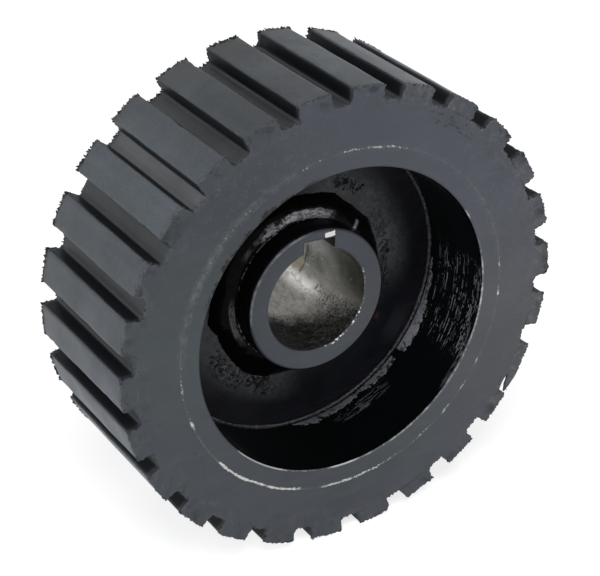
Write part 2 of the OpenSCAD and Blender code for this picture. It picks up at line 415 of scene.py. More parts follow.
def hub_finish():
    f = Finish("hub_finish")
    tone, rough, height = end_paint(f)
    depth = f.y - HUB_FRONT_Y
    metal, bore_rough, grime_and_slot_shade, marks = bore_metal(f, depth)
    bare = bare_metal(f, depth)
    in_bore = f.step(f.radius, BORE_R + 4.6, BORE_R + 4.2)
    in_bore = in_bore * f.band(f.y, HUB_FRONT_Y + 0.55, HUB_REAR_Y - 0.55, 0.1)
    # painted highlight: a broken light line along the hub's front outer edge on the left and upper left
    edge_highlight = f.ring(HUB_R - 1, HUB_R - 0.45, 0.1) * f.arc(308, 44, 10) * f.step(depth, 1, 0.8)
    edge_highlight = edge_highlight * f.step(f.noise(260, 3, 0.7), 0.4, 0.6, 0.25, 0.8)
    # gloss black on the hub's outside, behind the paint of its face
    outside = f.step(f.radius, HUB_R - 0.75, HUB_R - 0.35)
    outside = outside * f.band(f.y, HUB_FRONT_Y + 0.8, HUB_REAR_Y - 0.8, 0.4)
    colour = f.layers(
        tone,
        (outside, f.mix(f.noise(140, 3, 0.6), (0.004, 0.004, 0.005), (0.01, 0.01, 0.012))),
        (in_bore, metal),
        (edge_highlight, (0.27, 0.28, 0.31)),
        (bare, (0.62, 0.61, 0.6)),
    )
    metallic = in_bore * (1 - grime_and_slot_shade) * 0.85 | bare * 0.6
    rough = f.blend(in_bore, f.blend(outside, rough, 0.22), bore_rough)
    level = f.blend(in_bore * grime_and_slot_shade | outside, 0.22, 0.05)
    normal = f.bump(marks * in_bore, 0.03, 0.5, under=f.bump(height, 0.06, 0.35))
    return f.done(colour, rough, level, Normal=normal, Metallic=metallic)


def wall_marks_and_glints(f, depth):
    """Short tool marks and scuffs in the gloss of the recess's wall, with their streaks and patches. Their
    glints are painted as a lighter colour where they catch the light on the right.
    """
    streaks = f.strokes((190, 2700, 190), 1, 0.5)
    dots = f.strokes((620, 1700, 620), 1, 0.5)
    stripes = f.strokes((4, 420, 4), 1, 0.5)
    patches = f.noise(95, 3, 0.6)
    gathered = f.step(patches, 0.44, 0.54)
    lines = f.step(streaks, 0.59, 0.64) * f.step(stripes, 0.5, 0.57) * f.step(patches, 0.38, 0.46)
    grains = f.step(dots, 0.66, 0.71) * gathered
    crowded = f.arc(105, 17, 4) * f.band(depth, 0.6, 7.5, 1) * f.step(dots, 0.6, 0.65) * gathered
    rows = f.band(depth, 4.6, 5.05, 0.12)
    for start in (5.6, 13.1, 15.9, 17.6, 23.8):
        rows = rows | f.band(depth, start, start + 0.45, 0.12)
    rows = rows * f.arc(104, 18, 2) * f.step(f.strokes((330, 500, 330), 2, 0.6), 0.46, 0.54)
    fringe = f.arc(124, 9, 4) * f.band(depth, 0.7, 2.6, 0.8) * f.step(streaks, 0.5, 0.57)
    blots = f.arc(158, 10, 4) * f.band(depth, 25.5, 30, 1.5)
    blots = blots * f.step(f.strokes((230, 1150, 230), 2, 0.6), 0.5, 0.56) * 0.75
    zone = f.arc(104, 17, 5) * f.band(depth, 1, 30, 2)
    return zone * (lines | grains) | crowded | rows | fringe | blots, streaks, patches


def rim_finish():
    """Matt paint on the tube's end faces and gloss black inside, with painted glints on the wall's tool
    marks.
    """
    f = Finish("rim_finish")
    tone, rough, height = end_paint(f)
    tone = f.mix(joint_line(f), tone, PALE_CEMENT)
    end_face = f.step(f.end_on(), 0.35, 0.62)
    depth = f.y - FRONT_Y
    marks, streaks, patches = wall_marks_and_glints(f, depth)
    black = f.mix(f.noise(60, 4, 0.6), (0.0012, 0.0016, 0.0018), (0.0026, 0.0032, 0.0036))
    # the wall's marks painted lighter: their glints, painted on the right of the recess
    wall = f.mix(marks * f.step(patches, 0.35, 0.65, 0.45, 1), black, (0.115, 0.117, 0.129))
    worn_edge = f.step(f.radius, RIM_INNER_R + 0.55, RIM_INNER_R + 0.35)
    worn_edge = worn_edge * f.step(abs(f.y), HALF_WIDTH - 0.75, HALF_WIDTH - 0.55)
    worn_edge = worn_edge * f.step(f.round_profile(RECESS_EDGE) + f.noise(500, 2, 0.6) * 0.9, 0.75, 1.4)
    # black that has run over the recess's front edge at the upper left
    runs = (f.noise(330, 4, 0.7, 0.6) - 0.46) * 11
    spill = f.arc(322, 27, 6) * f.step(f.radius - runs, RIM_INNER_R + 1, RIM_INNER_R + 0.8)
    spill = spill * f.step(f.noise(75, 2, 0.6), 0.34, 0.4) * f.step(depth, 2, 1)
    colour = f.layers(
        f.mix(end_face, wall, tone),
        (spill, (0.004, 0.0045, 0.005)),
        (worn_edge, (0.44, 0.44, 0.45)),
    )
    wall_rough = f.blend(marks, f.step(f.noise(30, 2), 0.3, 0.7, 0.1, 0.2), 0.45)
    rough = f.blend(end_face, wall_rough, rough)
    level = f.blend(end_face, f.blend(marks, 0.06, 0.4), 0.25)
    normal = f.bump(marks * streaks, 0.25, 0.8, under=f.bump(height, 0.06, 0.35))
    return f.done(colour, rough, level, Normal=normal)


def web_finish():
    """Satin black, lighter either side of the hub's weld from dust and from the satin's reflection painted
    in, broken up by curdled paint.
    """
    f = Finish("web_finish")
    cloud = f.noise(55, 5, 0.62, 0.3)
    grain = f.noise(520, 4, 0.75)
    curdle = f.noise(210, 4, 0.7, 1.4)
    # lighter patches at the upper right and lower left of the weld: partly dust, partly the satin paint's
    # bow-tie reflection, painted
    dust_and_sheen = f.arc(58, 42, 14) * f.step(f.radius, 58, 43) | f.arc(226, 40, 12) * f.step(f.radius, 55, 44)
    dust_and_sheen = dust_and_sheen * f.blend(f.step(cloud * 0.5 + grain * 0.7, 0.48, 0.72), 0.42, 1)
    nests = f.arc(34, 12, 6) * f.ring(42.5, 48.5, 2) | f.arc(80, 34, 8) * f.ring(40, 45, 2) * 0.8
    nests = (nests | f.arc(222, 26, 7) * f.ring(41, 49, 2.5)) * f.step(f.noise(48, 3, 0.6), 0.36, 0.6)
    blots = (nests | dust_and_sheen * 0.35) * f.band(curdle, 0.505, 0.57, 0.018) * 0.85
    rims = nests * f.band(curdle, 0.478, 0.49, 0.008)
    streaks = f.step(f.radius, 55, 62) * f.step(f.strokes((30, 30, 900), 3, 0.65), 0.52, 0.64)
    rust = f.arc(125, 1.2, 1.4) * f.ring(46.3, 47.4, 0.9) * f.step(cloud, 0.3, 0.5)
    tone = f.layers(
        f.mix(cloud, (0.0035, 0.0038, 0.0055), (0.0075, 0.008, 0.011)),
        (dust_and_sheen * f.blend(f.arc(226, 60, 12), 1, 0.8), (0.08, 0.085, 0.088)),
        (rims * 0.35, (0.12, 0.126, 0.132)),
        (blots, (0.003, 0.003, 0.004)),
        (f.arc(125, 7, 6) * f.ring(56, 60, 4) * 0.35, (0.03, 0.031, 0.036)),
        (streaks * 0.5, (0.016, 0.017, 0.021)),
        (rust * 0.35, (0.11, 0.035, 0.03)),
    )
    rough = f.blend(blots, f.blend(dust_and_sheen, f.step(cloud, 0.3, 0.7, 0.28, 0.42), 0.6), 0.15)
    normal = f.bump(blots, 0.25, 0.7, under=f.bump(grain * 0.4 + cloud, 0.18, 0.5))
    return f.done(tone, rough, 0.14, Normal=normal)


def weld_black(f):
    """Colour, roughness and normal of the gloss black over the welds."""
    cloud = f.noise(210, 3, 0.6)
    colour = f.mix(cloud, (0.0015, 0.0018, 0.0022), (0.004, 0.004, 0.005))
    return colour, f.step(cloud, 0.3, 0.7, 0.1, 0.2), f.bump(f.noise(420, 3, 0.6), 0.12, 0.35)


def bead_finish():
    """Gloss black with spatter, for the welds at the rear."""
    f = Finish("bead_finish")
    colour, rough, normal = weld_black(f)
    spatter = f.step(f.noise(350, 4, 0.75), 0.58, 0.66)
    colour = f.mix(spatter * 0.6, colour, (0.03, 0.031, 0.034))
    return f.done(colour, rough, f.step(f.noise(120, 3, 0.6), 0.35, 0.65, 0.06, 0.28), Normal=normal)


def front_bead_finish():
    """Black that is dull except where highlights are painted: on the bead's upper side, its left, one glint
    and the line along the hub.
    """
    f = Finish("front_bead_finish")
    colour, rough, normal = weld_black(f)
    # painted highlights: a lighter colour and more specular on the bead's upper side, its left, one glint
    # and a dotted line of glints at the toe on the hub
    brushed = f.swirls(0.2, 1.1, 4, 0.65, 0.8)
    uneven = f.radius + (f.noise(85, 3, 0.6) - 0.5) * 5
    lengths = f.arc(12, 13, 5) | f.arc(343, 17, 4) | f.arc(318, 8, 4) * 0.3
    top = lengths * f.band(uneven, 31.9, 34.9, 0.5)
    top = top * f.step(f.noise(165, 4, 0.65, 0.8), 0.42, 0.5, 0.1, 1)
    side = f.arc(259, 17, 6) * f.ring(32.5, 34, 0.7) * 0.5
    glint = f.arc(49, 1.3, 0.9) * f.ring(32, 35.2, 0.5)
    toe_glints = f.ring(HUB_R + 0.15, HUB_R + 0.35, 0.15) * (f.arc(325, 38, 8) | f.arc(250, 20, 8))
    toe_glints = toe_glints * f.step(f.noise(480, 2, 0.7), 0.5, 0.58)
    sheen = (top | side) * f.step(brushed, 0.36, 0.58, 0.15, 1) | glint
    shine = sheen * 0.9 | toe_glints * 0.7
    # colour of the painted highlights, paler for the glints along the toe
    light = f.mix(toe_glints, (0.235, 0.237, 0.268), (0.42, 0.42, 0.44))
    return f.done(f.mix(shine * 0.9, colour, light), rough, f.blend(shine, 0.03, 0.45), Normal=normal)


def corner_finish():
    """Black paint with a painted highlight along the crease above the fillet, and the lilac-grey crust of
    dried paint on the wall, marked by the crust attribute.
    """
    f = Finish("corner_finish")
    cloud = f.noise(160, 3, 0.6)
    fine = f.noise(900, 4, 0.75)
    lower_right = f.arc(118, 17, 3)
    cracks = f.step(f.noise(260, 3, 0.65, 1.2), 0.4, 0.47)
    crust = f.step(f.add("Attribute", output="Fac", attribute_name="crust"), 0.25, 0.5)
    crust = crust * f.step(fine, 0.32, 0.42, 0.35, 1)
    crust = crust * f.blend(lower_right, cracks, f.blend(cracks, 0.3, 1))
    # painted highlight: a lighter band along the crease, just above the fillet
    crease_highlight = f.step(f.y, WEB_FRONT_Y - 1.9, WEB_FRONT_Y - 1.5) * f.step(fine, 0.4, 0.62)
    lilac = f.mix(f.arc(124, 8, 8), (0.1, 0.102, 0.116), (0.185, 0.185, 0.215))
    pale = f.mix(lower_right, (0.105, 0.108, 0.118), lilac)
    colour = f.layers(
        f.mix(cloud, (0.006, 0.006, 0.008), (0.014, 0.014, 0.017)),
        (crease_highlight * 0.85, (0.072, 0.074, 0.082)),
        (crust, f.mix(f.step(fine, 0.35, 0.65, 0, 0.5), pale, (0.075, 0.076, 0.088))),
    )
    rough = f.blend(crust, f.step(cloud, 0.3, 0.7, 0.22, 0.38), 0.6)
    return f.done(colour, rough, f.blend(crust, 0.15, 0.4), Normal=f.bump(fine, 0.12, 0.6))


# ---- finishes of the rubber
def bond_finish():
    f = Finish("bond_finish")
    tone, rough, height = end_paint(f)
    colour = f.mix(joint_line(f), tone, PALE_CEMENT)
    return f.done(colour, rough, 0.25, Normal=f.bump(height, 0.1, 0.6))


def torn_finish(name, dark, light, scale=500, low=0.4, rough=0.6, level=0.2):
    """Matt and rough, in two tones: for torn rubber and crumbs."""
    f = Finish(name)
    colour = f.mix(f.step(f.noise(scale, 3, 0.7), low, 0.65), dark, light)
    rough = f.step(f.noise(300, 2), 0.3, 0.7, rough, rough + 0.2)
    return f.done(colour, rough, level, Normal=f.bump(f.noise(1500, 3, 0.7), 0.05, 0.6))


def bare_rubber(f, end_y, outwards, worn, cloud, grain):
    """Dusty rubber of the rib tops, and grooves painted darker as shade, their walls near black."""
    cast = f.noise(19, 3, 0.55)
    swipe = f.strokes((160, 22, 160), 3, 0.6)
    brown = f.step(f.y, REAR_Y - 22, REAR_Y) | f.step(end_y, 5, 1, 0, 0.25)
    brown = brown * f.step(f.noise(85, 4, 0.6), 0.42, 0.66) * f.step(f.radius, TIP_R - 2.5, TIP_R - 0.5)
    cells = f.add("TexVoronoi", {"Vector": f.place, "Scale": 190}, "Distance")
    dust = f.step(cells, 0.05, 0.035) * f.step(f.noise(60, 2), 0.42, 0.58)
    top = f.layers(
        f.mix(f.step(cast, 0.38, 0.62), (0.031, 0.042, 0.054), (0.04, 0.049, 0.059)),
        (f.step(cloud, 0.32, 0.68, 0, 0.6), (0.031, 0.037, 0.045)),
        (f.step(swipe, 0.45, 0.75, 0, 0.4), (0.062, 0.071, 0.081)),
        (f.step(grain, 0.45, 0.7, 0, 0.45), (0.074, 0.081, 0.089)),
        (f.step(grain, 0.45, 0.3, 0, 0.5), (0.018, 0.02, 0.023)),
        (brown * 0.5, (0.088, 0.076, 0.06)),
        (worn * 0.4, (0.098, 0.1, 0.102)),
        (dust * 0.6, (0.3, 0.29, 0.27)),
    )
    # groove floors painted dimmer than the tops as shade; the lighter floor at 318 degrees is dust
    floor = f.layers(
        f.mix(cloud, (0.015, 0.019, 0.023), (0.027, 0.032, 0.038)),
        (f.arc(318.5, 4, 2) * f.step(swipe, 0.3, 0.6, 0.6, 1), (0.065, 0.068, 0.074)),
        (f.step(swipe, 0.5, 0.7, 0, 0.3), (0.05, 0.055, 0.06)),
    )
    # groove walls painted near black: painted shade
    wall = f.mix(cloud, (0.004, 0.005, 0.006), (0.011, 0.012, 0.013))
    # groove floors tinted round the axis by painted light and shade
    groove = f.mix(f.step(outwards, 0.7, 0.995), wall, f.tint(floor, f.round_profile(FLOOR_PAINTED_LIGHT)))
    deep = f.step(f.radius, TIP_R - 0.5, TIP_R - 1.2)
    # rib tops tinted round the axis by painted light and shade
    return f.mix(deep, f.tint(top, f.round_profile(RIB_PAINTED_LIGHT)), groove)


def torn_places(f, end_y):
    """Three places on the front where the rubber of a rib's end is torn."""
    torn = f.arc(34, 8, 3) * f.ring(85.5, 89.5, 1)
    torn = torn | f.arc(104, 5, 3) * f.ring(85, 87, 1) * 0.8 | f.arc(240, 4, 3) * f.ring(75.5, 78, 1) * 0.7
    return torn * f.step(end_y, 3, 1) * f.step(f.swirls(0.5, 0.8, 4, 0.7, 0.5), 0.57, 0.61)


def rubber_finish():
    f = Finish("rubber_finish")
    tone, rough, height = end_paint(f)
    tone = f.mix(joint_line(f), tone, PALE_CEMENT)
    facing = {0: f.add("NewGeometry", output="Normal"), 1: f.across}
    outwards = f.add("VectorMath", facing, "Value", operation="DOT_PRODUCT") / f.radius
    wear = f.add("Attribute", output="Fac", attribute_name="wear")
    end_y = HALF_WIDTH - abs(f.y)
    cloud = f.noise(42, 5, 0.62, 0.3)
    grain = f.noise(1300, 3, 0.75)
    worn = f.step(wear, 0.25, 0.9) * f.step(f.noise(150, 4, 0.65), 0.42, 0.6)
    rubber = bare_rubber(f, end_y, outwards, worn, cloud, grain)
    # the paint of the end faces, thin on the ribs, and its overspray round their edges
    over = f.step(end_y - f.noise(170, 4, 0.7) * 5.4, 0.4, -1.5)
    thin = f.step(f.radius, TIP_R - 8, TIP_R - 1) * f.step(f.noise(120, 5, 0.7, 0.5), 0.5, 0.64)
    painted = f.step(f.end_on(), 0.55, 0.85) * (1 - thin * 0.55) | over * 0.45
    scuffed = f.step(wear, 0.15, 0.6) * f.step(f.noise(210, 4, 0.7), 0.5, 0.4)
    torn = torn_places(f, end_y)
    colour = f.layers(
        f.mix(painted, rubber, tone),
        (worn * painted * 0.4, (0.112, 0.11, 0.106)),
        (scuffed * 0.6, (0.014, 0.015, 0.017)),
        (torn * 0.85, (0.014, 0.015, 0.017)),
    )
    rough = f.blend(painted, f.step(cloud, 0.3, 0.7, 0.44, 0.58), rough)
    level = f.blend(painted, f.step(outwards, 0.5, 0.9, 0.1, 0.4), 0.25)
    normal = f.bump(1 - torn, 0.3, 0.6, under=f.bump(height + grain * 0.5, 0.12, 0.5))
    return f.done(colour, rough, level, Normal=normal)


# ---- mesh helpers
def at(radius, angle, y):
    """Point at an angle clockwise from the top, seen from the front."""
    turn = math.radians(angle)
    return (radius * math.sin(turn), y, radius * math.cos(turn))


def wave(x, y, z, seed=0.0):
    """Smooth noise between about -1 and 1 at a place measured in noise cells."""
    return noise.noise(Vector((x + seed * 17.3, y - seed * 5.1, z + seed * 9.7)))


def read_round(stops, angle):
    """Value at an angle, between the (angle, value) pairs of a list."""
    angles, values = zip(*stops)
    return float(np.interp(angle % 360, angles, values))


def add_object(name, data):
    """A new object in the scene."""
    thing = bpy.data.objects.new(name, data)
    bpy.context.scene.collection.objects.link(thing)
    return thing


def make_piece(name, points, faces, finish, node=None):
    """A piece from points in millimetres, in place of a node of the frame if one is given."""
    mesh = bpy.data.meshes.new(name)
    mesh.from_pydata([(x * MM, y * MM, z * MM) for x, y, z in points], [], faces)
    mesh.validate()
    mesh.update()
    mesh.polygons.foreach_set("use_smooth", [True] * len(mesh.polygons))
    mesh.set_sharp_from_angle(angle=math.radians(50))
    mesh.materials.append(finish)
    piece = add_object(name, mesh)
    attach(piece, "root")
    if node:
        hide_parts(node)
    return piece


def set_attribute(piece, name, values):
    piece.data.attributes.new(name, "FLOAT", "POINT").data.foreach_set("value", values)


def grid_faces(rows, columns, flip=False):
    """Faces of a grid of points, kept row by row, that closes on itself both ways."""
    faces = []
    for i in range(rows):
        for j in range(columns):
            here, across = i * columns, (i + 1) % rows * columns
            after = (j + 1) % columns
            quad = (here + j, here + after, across + after, across + j)
            faces.append((quad[0], quad[3], quad[2], quad[1]) if flip else quad)
    return faces


# ---- lagging
GROOVE_HALF_MOUTH = 4.75
GROOVE_DEPTH = 6.3
WALL_SLOPE = math.radians(8)
FOOT_R = 1.4
FLOOR_R = TIP_R - GROOVE_DEPTH
# Numbers of points along one pitch of the tread, and where its two corners come in them
FLOOR_STEPS = 5
FOOT_STEPS = 5
WALL_STEPS = 7
TOP_STEPS = 22
SIDE_STEPS = FOOT_STEPS + WALL_STEPS - 1
FIRST_CORNER = FLOOR_STEPS + SIDE_STEPS - 1
LAST_CORNER = FIRST_CORNER + TOP_STEPS + 1
SIDE_END = LAST_CORNER + SIDE_STEPS
# Cross sections, by their distance from an end
NEAR_END = [0, 0.12, 0.3, 0.55, 0.9, 1.35, 1.9, 2.6, 3.5, 4.6, 6, 8, 10.5, 13.5, 17, 21, 25, 30]
STATIONS = [FRONT_Y + d for d in NEAR_END] + [0.0] + [REAR_Y - d for d in reversed(NEAR_END)]
END_RINGS = 8


def groove_side():
    """Right half of a groove from its floor to its top corner, as (across, up from the axis)."""
    wall_foot = GROOVE_HALF_MOUTH - GROOVE_DEPTH * math.tan(WALL_SLOPE)
    foot_x = wall_foot - FOOT_R * (1 / math.cos(WALL_SLOPE) - math.tan(WALL_SLOPE))
    curve = []
    for i in range(FOOT_STEPS):
        turn = math.radians(-90) + (math.pi / 2 - WALL_SLOPE) * i / (FOOT_STEPS - 1)
        curve.append((foot_x + FOOT_R * math.cos(turn), FLOOR_R + FOOT_R + FOOT_R * math.sin(turn)))
    low_x, low_z = curve[-1]
    top_z = math.sqrt(TIP_R ** 2 - GROOVE_HALF_MOUTH ** 2)
    for i in range(1, WALL_STEPS):
        share = (i / (WALL_STEPS - 1)) ** 0.8
        curve.append((low_x + (GROOVE_HALF_MOUTH - low_x) * share, low_z + (top_z - low_z) * share))
    return curve


def pitch_outline():
    """One pitch of the tread from the middle of a groove to the middle of the next, as (angle, radius)."""
    side = [(math.degrees(math.atan2(x, z)), math.hypot(x, z)) for x, z in groove_side()]
    floor = [(side[0][0] * i / FLOOR_STEPS, FLOOR_R) for i in range(FLOOR_STEPS)]
    corner = side[-1][0]
    top_step = (PITCH - 2 * corner) / (TOP_STEPS + 1)
    top = [(corner + top_step * i, TIP_R) for i in range(1, TOP_STEPS + 1)]
    mirrored = [(PITCH - angle, radius) for angle, radius in reversed(floor[1:] + side)]
    return floor + side + top + mirrored


def end_inset(distance, radius):
    """How far a rounded end draws the surface in, at a distance from the end face."""
    if distance >= radius:
        return 0.0
    return radius - math.sqrt(max(radius ** 2 - (radius - distance) ** 2, 0.0))


def towards(angle, centre):
    """One at an angle round the axis, falling to nothing a quarter turn from it."""
    return max(0.0, math.cos(math.radians(angle - centre)))


def tread_wear(angle, k, i, x, y, z):
    """How far point i of pitch k has moved outwards, through wear, tears and uneven moulding."""
    to_end = min(y - FRONT_Y, REAR_Y - y)
    side = -1 if y < 0 else 1
    # rounded end, more worn at some ribs and at the rear
    rounding = 0.35 + 0.35 * wave(x / 9, side * 3, z / 9, 2) + (0.35 if side > 0 else 0.0)
    move = -end_inset(to_end, max(rounding, 0.2))
    # ragged ends
    fade = math.exp(-to_end / 1.6)
    torn = 0.9 if side > 0 else 0.62 + 0.75 * towards(angle, 78) + 0.45 * towards(angle, 225)
    move += fade * torn * wave(x / 0.9, y / 1.6, z / 0.9, 3)
    move += fade * 0.35 * wave(x / 4.5, side, z / 4.5, 4)
    # soft and nicked corners of the ribs
    corner = min(abs(i - FIRST_CORNER), abs(i - LAST_CORNER))
    if corner <= 1:
        soft = 0.28 + 0.22 * wave(k * 3.1, y / 14, i, 5)
        nick = max(wave(x / 5, y / 2.2, z / 5, 6) - 0.32, 0.0)
        move -= (soft + 2.2 * nick) * (1.0 if corner == 0 else 0.35)
    # uneven moulding
    move += 0.10 * wave(x / 11, y / 13, z / 11, 7) + 0.03 * wave(x / 2.5, y / 4, z / 2.5, 8)
    if FIRST_CORNER <= i <= LAST_CORNER:
        move += 0.22 * wave(k * 1.7, y / 40, 0.3, 9) - 0.1
    return move


def tread_points(outline):
    """Points of every cross section of the tread, from its outline as (angle, radius, pitch, number)."""
    flat = np.array([at(radius, angle, 0) for angle, radius, k, i in outline])[:, [0, 2]]
    along = np.roll(flat, -1, 0) - np.roll(flat, 1, 0)
    normal = np.stack([-along[:, 1], along[:, 0]], 1)
    normal /= np.linalg.norm(normal, axis=1)[:, None]
    points = []
    for y in STATIONS:
        for (angle, radius, k, i), (x, z), (nx, nz) in zip(outline, flat, normal):
            move = tread_wear(angle, k, i, x, y, z)
            points.append((x + nx * move, y, z + nz * move))
    return points


def rib_foot(points, first, last, count):
    """New points across a rib's end at the level of the groove floors, between two points of it."""
    (angle_a, radius_a), (angle_b, radius_b) = (
        (math.degrees(math.atan2(x, z)) % 360, math.hypot(x, z)) for x, y, z in (points[first], points[last])
    )
    if angle_b < angle_a:
        angle_b += 360
    row = [first]
    for j in range(1, count - 1):
        share = j / (count - 1)
        radius = radius_a + (radius_b - radius_a) * share
        points.append(at(radius, angle_a + (angle_b - angle_a) * share, points[first][1]))
        row.append(len(points) - 1)
    return row + [last]


def close_rib(points, faces, index, side):
    """Close one rib's end with a patch between its walls, its top and its foot, and return the foot."""
    walls = index[FLOOR_STEPS:FIRST_CORNER + 1], index[LAST_CORNER:SIDE_END][::-1]
    top = index[FIRST_CORNER:LAST_CORNER + 1]
    rows, columns = len(walls[0]), len(top)
    foot = rib_foot(points, walls[0][0], walls[1][0], columns)
    corners = [Vector(points[wall[end]]) for end in (0, -1) for wall in walls]
    grid = [foot]
    for i in range(1, rows - 1):
        v = i / (rows - 1)
        left, right = (Vector(points[wall[i]]) for wall in walls)
        line = [walls[0][i]]
        for j in range(1, columns - 1):
            u = j / (columns - 1)
            between_walls = left.lerp(right, u)
            between_rows = Vector(points[foot[j]]).lerp(Vector(points[top[j]]), v)
            corner_share = corners[0].lerp(corners[1], u).lerp(corners[2].lerp(corners[3], u), v)
            points.append(tuple(between_walls + between_rows - corner_share))
            line.append(len(points) - 1)
        grid.append(line + [walls[1][i]])
    grid.append(top)
    for lower, upper in zip(grid, grid[1:]):
        for j in range(columns - 1):
            faces.append((lower[j], lower[j + 1], upper[j + 1], upper[j])[::-side])
    return foot


def close_end(points, faces, first, pitch_points, side):
    """Close one end of the lagging with its ribs and rings down to the bond, and return the inner ring."""
    ring = []
    for k in range(GROOVES):
        start = first + k * pitch_points
        index = list(range(start, start + pitch_points))
        foot = close_rib(points, faces, index, side)
        ring += index[:FLOOR_STEPS] + foot + index[SIDE_END:]
    rim = [points[n] for n in ring]
    inner = BOND_R + 0.01
    for step in range(1, END_RINGS + 1):
        current = []
        for x, y, z in rim:
            radius = math.hypot(x, z)
            scale = (radius + (inner - radius) * step / END_RINGS) / radius
            relief = 0.05 * abs(wave(x / 7, 1, z / 7, 11)) if step < END_RINGS - 1 else 0.0
            points.append((x * scale, y - side * relief, z * scale))
            current.append(len(points) - 1)
        for j in range(len(ring)):
            after = (j + 1) % len(ring)
            faces.append((ring[j], current[j], current[after], ring[after])[::-side])
        ring = current
    return ring


def build_lagging(finish):
    """The rubber cover: 26 ribs with worn corners and ragged ends."""
    pitch = pitch_outline()
    outline = [(k * PITCH + a, r, k, i) for k in range(GROOVES) for i, (a, r) in enumerate(pitch)]
    points = tread_points(outline)
    tread_count = len(points)
    rows, count = len(STATIONS), len(outline)
    faces = grid_faces(rows, count)[:(rows - 1) * count]
    front = close_end(points, faces, 0, len(pitch), -1)
    rear = close_end(points, faces, (rows - 1) * count, len(pitch), 1)
    for j in range(len(front)):
        after = (j + 1) % len(front)
        faces.append((front[j], rear[j], rear[after], front[after]))
    piece = make_piece("rubber_lagging", points, faces, finish, "lagging")
    wear = [0.0] * len(points)
    for n in range(tread_count):
        from_end = min(n // count, rows - 1 - n // count)
        i = n % count % len(pitch)
        worn_top = from_end <= 3 and FIRST_CORNER <= i <= LAST_CORNER
        worn_side = from_end == 0 and FLOOR_STEPS <= i < SIDE_END
        wear[n] = float(i in (FIRST_CORNER, LAST_CORNER) or worn_top or worn_side)
    set_attribute(piece, "wear", wear)


def build_bond(finish):
    """The bonding layer, its ends bridged by a low uneven ridge of paint and cement."""
    around = 1200
    points = []
    for i in range(around):
        swell = 0.015 + 0.07 * max(0.0, wave(i / 9, 1, 1, 31)) + 0.08 * max(0.0, wave(i / 2.5, 2, 1, 32))
        inner = RIM_R - 0.15 - 0.1 * wave(i / 6, 3, 1, 33)
        outer = BOND_R + 0.2 + 0.1 * wave(i / 7, 4, 1, 34)
        middle = (inner + outer) / 2
        section = [
            (RIM_R + 0.02, -0.5), (inner, 0.005), (middle - 0.2, swell),
            (middle + 0.2, swell), (outer, 0.005), (BOND_R - 0.02, -0.5),
        ]
        points += [at(r, i * 360 / around, FRONT_Y - out) for r, out in section]
        points += [at(r, i * 360 / around, REAR_Y + out) for r, out in reversed(section)]
    make_piece("bond_sleeve", points, grid_faces(around, 12, flip=True), finish, "bonding_layer")


# ---- weld beads
# Radius of each hub bead's toe on the web, round the axis
FRONT_TOE = [
    (0, 39.6), (12, 39.4), (20, 39.9), (27, 40.4), (36, 39.0), (50, 38.8), (60, 39.8), (70, 38.9),
    (90, 39.1), (120, 39.0), (150, 39.4), (180, 39.2), (191, 39.5), (204, 41.6), (218, 42.0),
    (230, 40.7), (242, 39.9), (252, 39.3), (262, 41.9), (272, 40.2), (290, 39.5), (315, 40.0),
    (340, 39.4), (360, 39.6),
]
REAR_TOE = [(angle, 39.4 + 0.9 * math.sin(math.radians(3 * angle)) ** 2) for angle in range(0, 361, 15)]
BEAD_STEPS = 720
HUB_BEAD_HEIGHT = 5.8
HUB_BEAD_SWELL = 1.15
HUB_BEAD_RIPPLES = 26
RIM_BEAD_LEG = 5.5
RIM_BEAD_SWELL = 1.0
RIM_BEAD_RIPPLES = 30


def build_bead(name, node, face_y, outward, toe_table, seed, finish):
    """Hand-laid bead round the hub, lying on a face of the web that looks along outward."""
    across = 15
    inner = HUB_R + 0.05
    points = []
    for i in range(BEAD_STEPS):
        angle = i * 360 / BEAD_STEPS
        toe = read_round(toe_table, angle) + 0.25 * wave(i / 9, seed, 0.5, seed)
        toe += 0.45 * max(0.0, wave(i / 2.6, seed, 4, seed))
        ripple_turn = angle * HUB_BEAD_RIPPLES + 40 * wave(i / 30, 1, 2, seed)
        ripple = 0.05 * abs(math.sin(math.radians(ripple_turn)))
        swell = HUB_BEAD_SWELL + 0.5 * wave(i / 34, 3, seed, seed) + ripple
        height = HUB_BEAD_HEIGHT + 0.5 * wave(i / 40, 2, 7, seed)
        for j in range(across):
            share = j / (across - 1)
            hump = math.sin(math.pi * share)
            bulge = swell * hump ** 0.8
            r = toe + (inner - toe) * share + bulge * 0.62
            up = height * share + bulge * 0.78
            lump = 0.12 * wave(r / 2, up / 2 + seed, i / 14, seed + 1)
            if share > 0.85:
                lump += 0.5 * max(0.0, wave(i / 2.2, seed, share * 3, seed + 3))
            points.append(at(r + lump * hump, angle, face_y + outward * (up + lump * hump)))
        points.append(at(inner, angle, face_y))
    faces = grid_faces(BEAD_STEPS, across + 1, flip=outward > 0)
    make_piece(name, points, faces, finish, node)


